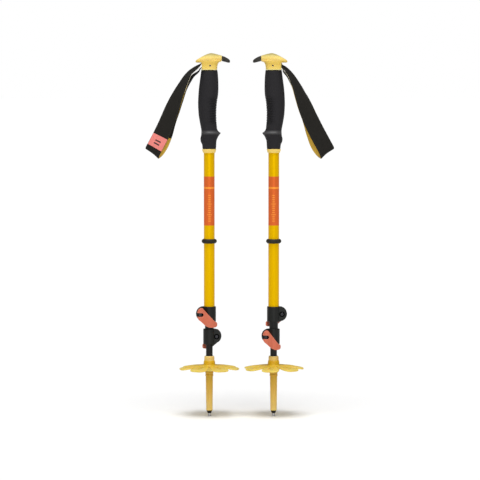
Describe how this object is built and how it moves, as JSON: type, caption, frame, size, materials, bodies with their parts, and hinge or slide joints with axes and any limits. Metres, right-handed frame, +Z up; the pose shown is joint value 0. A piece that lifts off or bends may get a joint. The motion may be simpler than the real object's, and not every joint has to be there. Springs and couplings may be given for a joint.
{
  "type": "ski pole pair",
  "caption": "Pair of collapsed telescoping ski poles with lever clamps, foam grips with beaked heads, wrist straps and wide snow baskets.",
  "frame": {"origin": "on the ground midway between the two tips, under the middle of the pair", "axes": "+Z up along the poles; +X from the left pole to the right one; the clamp levers of the left pole's upper clamp face -Y"},
  "size_m": [0.3186, 0.1016, 0.6146],
  "materials": {
    "shaft_yellow": "glossy yellow lacquer with printed coral bands",
    "shaft_black": "satin black anodised tube",
    "grip_yellow": "soft moulded plastic, satin",
    "grip_foam": "dense closed-cell foam, matt",
    "beak_rubber": "matt soft rubber",
    "strap_fabric": "woven webbing",
    "strap_lining": "brushed knit lining",
    "patch_coral": "woven label",
    "lever_coral": "satin moulded plastic",
    "clamp_black": "fine-grained glass-filled plastic",
    "ring_rubber": "matt rubber",
    "basket_yellow": "flexible plastic, slightly translucent",
    "ferrule_gold": "translucent amber plastic",
    "tip_black": "hard plastic",
    "steel": "machined, slightly dull"
  },
  "bodies": {
    "left_lower": {"left_tip_point": "steel", "left_tip_holder": "tip_black", "left_tip_ferrule": "ferrule_gold", "left_lower_shaft": "shaft_black", "left_lower_bush": "tip_black"},
    "left_basket": {"left_basket": "basket_yellow"},
    "left_middle": {"left_middle_shaft": "shaft_black", "left_middle_bush": "tip_black", "left_lower_clamp_body": "clamp_black", "left_lower_clamp_barrel_nut": "steel"},
    "left_lower_lever": {"left_lower_clamp_lever": "lever_coral"},
    "left_lower_screw": {"left_lower_clamp_screw": "steel"},
    "left_upper": {"left_upper_shaft": "shaft_yellow", "left_upper_clamp_body": "clamp_black", "left_upper_clamp_barrel_nut": "steel", "left_grip_end_ring": "grip_yellow", "left_grip_foam": "grip_foam", "left_grip_head": "grip_yellow", "left_beak_insert": "beak_rubber", "left_strap_pin": "steel", "left_strap_anchor": "strap_fabric"},
    "left_upper_lever": {"left_upper_clamp_lever": "lever_coral"},
    "left_upper_screw": {"left_upper_clamp_screw": "steel"},
    "left_ring": {"left_shaft_ring": "ring_rubber"},
    "left_strap": {"left_strap_webbing": "strap_fabric", "left_strap_lining": "strap_lining", "left_strap_patch": "patch_coral"},
    "right_lower": {"right_tip_point": "steel", "right_tip_holder": "tip_black", "right_tip_ferrule": "ferrule_gold", "right_lower_shaft": "shaft_black", "right_lower_bush": "tip_black"},
    "right_basket": {"right_basket": "basket_yellow"},
    "right_middle": {"right_middle_shaft": "shaft_black", "right_middle_bush": "tip_black", "right_lower_clamp_body": "clamp_black", "right_lower_clamp_barrel_nut": "steel"},
    "right_lower_lever": {"right_lower_clamp_lever": "lever_coral"},
    "right_lower_screw": {"right_lower_clamp_screw": "steel"},
    "right_upper": {"right_upper_shaft": "shaft_yellow", "right_upper_clamp_body": "clamp_black", "right_upper_clamp_barrel_nut": "steel", "right_grip_end_ring": "grip_yellow", "right_grip_foam": "grip_foam", "right_grip_head": "grip_yellow", "right_beak_insert": "beak_rubber", "right_strap_pin": "steel", "right_strap_anchor": "strap_fabric"},
    "right_upper_lever": {"right_upper_clamp_lever": "lever_coral"},
    "right_upper_screw": {"right_upper_clamp_screw": "steel"},
    "right_ring": {"right_shaft_ring": "ring_rubber"},
    "right_strap": {"right_strap_webbing": "strap_fabric", "right_strap_lining": "strap_lining", "right_strap_patch": "patch_coral"}
  },
  "joints": [
    {"name": "pair_spacing", "type": "slide", "parent": "left_lower", "child": "right_lower", "axis": [1, 0, 0], "range_m": [0, 0.12]},
    {"name": "left_lower_extend", "type": "slide", "parent": "left_lower", "child": "left_middle", "axis": [0, 0, 1], "range_m": [0, 0.34]},
    {"name": "left_upper_extend", "type": "slide", "parent": "left_middle", "child": "left_upper", "axis": [0, 0, 1], "range_m": [0, 0.33]},
    {"name": "left_basket_turn", "type": "hinge", "parent": "left_lower", "child": "left_basket", "pos_m": [-0.0525, 0, 0.089], "axis": [0, 0, -1], "range_deg": [0, 450]},
    {"name": "left_lower_lever_open", "type": "hinge", "parent": "left_middle", "child": "left_lower_lever", "pos_m": [-0.0401, 0.0122, 0.1357], "axis": [0, 0, -1], "range_deg": [0, 140]},
    {"name": "left_upper_lever_open", "type": "hinge", "parent": "left_upper", "child": "left_upper_lever", "pos_m": [-0.0666, -0.0122, 0.1737], "axis": [0, 0, -1], "range_deg": [0, 140]},
    {"name": "left_lower_screw_turn", "type": "hinge", "parent": "left_middle", "child": "left_lower_screw", "pos_m": [-0.0401, 0, 0.1357], "axis": [0, -1, 0], "range_deg": [-180, 180]},
    {"name": "left_upper_screw_turn", "type": "hinge", "parent": "left_upper", "child": "left_upper_screw", "pos_m": [-0.0666, 0, 0.1737], "axis": [0, 1, 0], "range_deg": [-180, 180]},
    {"name": "left_ring_slide", "type": "slide", "parent": "left_upper", "child": "left_ring", "axis": [0, 0, 1], "range_m": [-0.1, 0.14]},
    {"name": "left_strap_swing", "type": "hinge", "parent": "left_upper", "child": "left_strap", "pos_m": [-0.0654, 0, 0.5936], "axis": [0, 1, 0], "range_deg": [-2, 18]},
    {"name": "right_lower_extend", "type": "slide", "parent": "right_lower", "child": "right_middle", "axis": [0, 0, 1], "range_m": [0, 0.34]},
    {"name": "right_upper_extend", "type": "slide", "parent": "right_middle", "child": "right_upper", "axis": [0, 0, 1], "range_m": [0, 0.33]},
    {"name": "right_basket_turn", "type": "hinge", "parent": "right_lower", "child": "right_basket", "pos_m": [0.0565, 0, 0.089], "axis": [0, 0, -1], "range_deg": [0, 450]},
    {"name": "right_lower_lever_open", "type": "hinge", "parent": "right_middle", "child": "right_lower_lever", "pos_m": [0.0441, -0.0122, 0.1357], "axis": [0, 0, -1], "range_deg": [0, 140]},
    {"name": "right_upper_lever_open", "type": "hinge", "parent": "right_upper", "child": "right_upper_lever", "pos_m": [0.0706, 0.0122, 0.1737], "axis": [0, 0, -1], "range_deg": [0, 140]},
    {"name": "right_lower_screw_turn", "type": "hinge", "parent": "right_middle", "child": "right_lower_screw", "pos_m": [0.0441, 0, 0.1357], "axis": [0, 1, 0], "range_deg": [-180, 180]},
    {"name": "right_upper_screw_turn", "type": "hinge", "parent": "right_upper", "child": "right_upper_screw", "pos_m": [0.0706, 0, 0.1737], "axis": [0, -1, 0], "range_deg": [-180, 180]},
    {"name": "right_ring_slide", "type": "slide", "parent": "right_upper", "child": "right_ring", "axis": [0, 0, 1], "range_m": [-0.1, 0.14]},
    {"name": "right_strap_swing", "type": "hinge", "parent": "right_upper", "child": "right_strap", "pos_m": [0.0694, 0, 0.5936], "axis": [0, -1, 0], "range_deg": [-2, 18]}
  ]
}
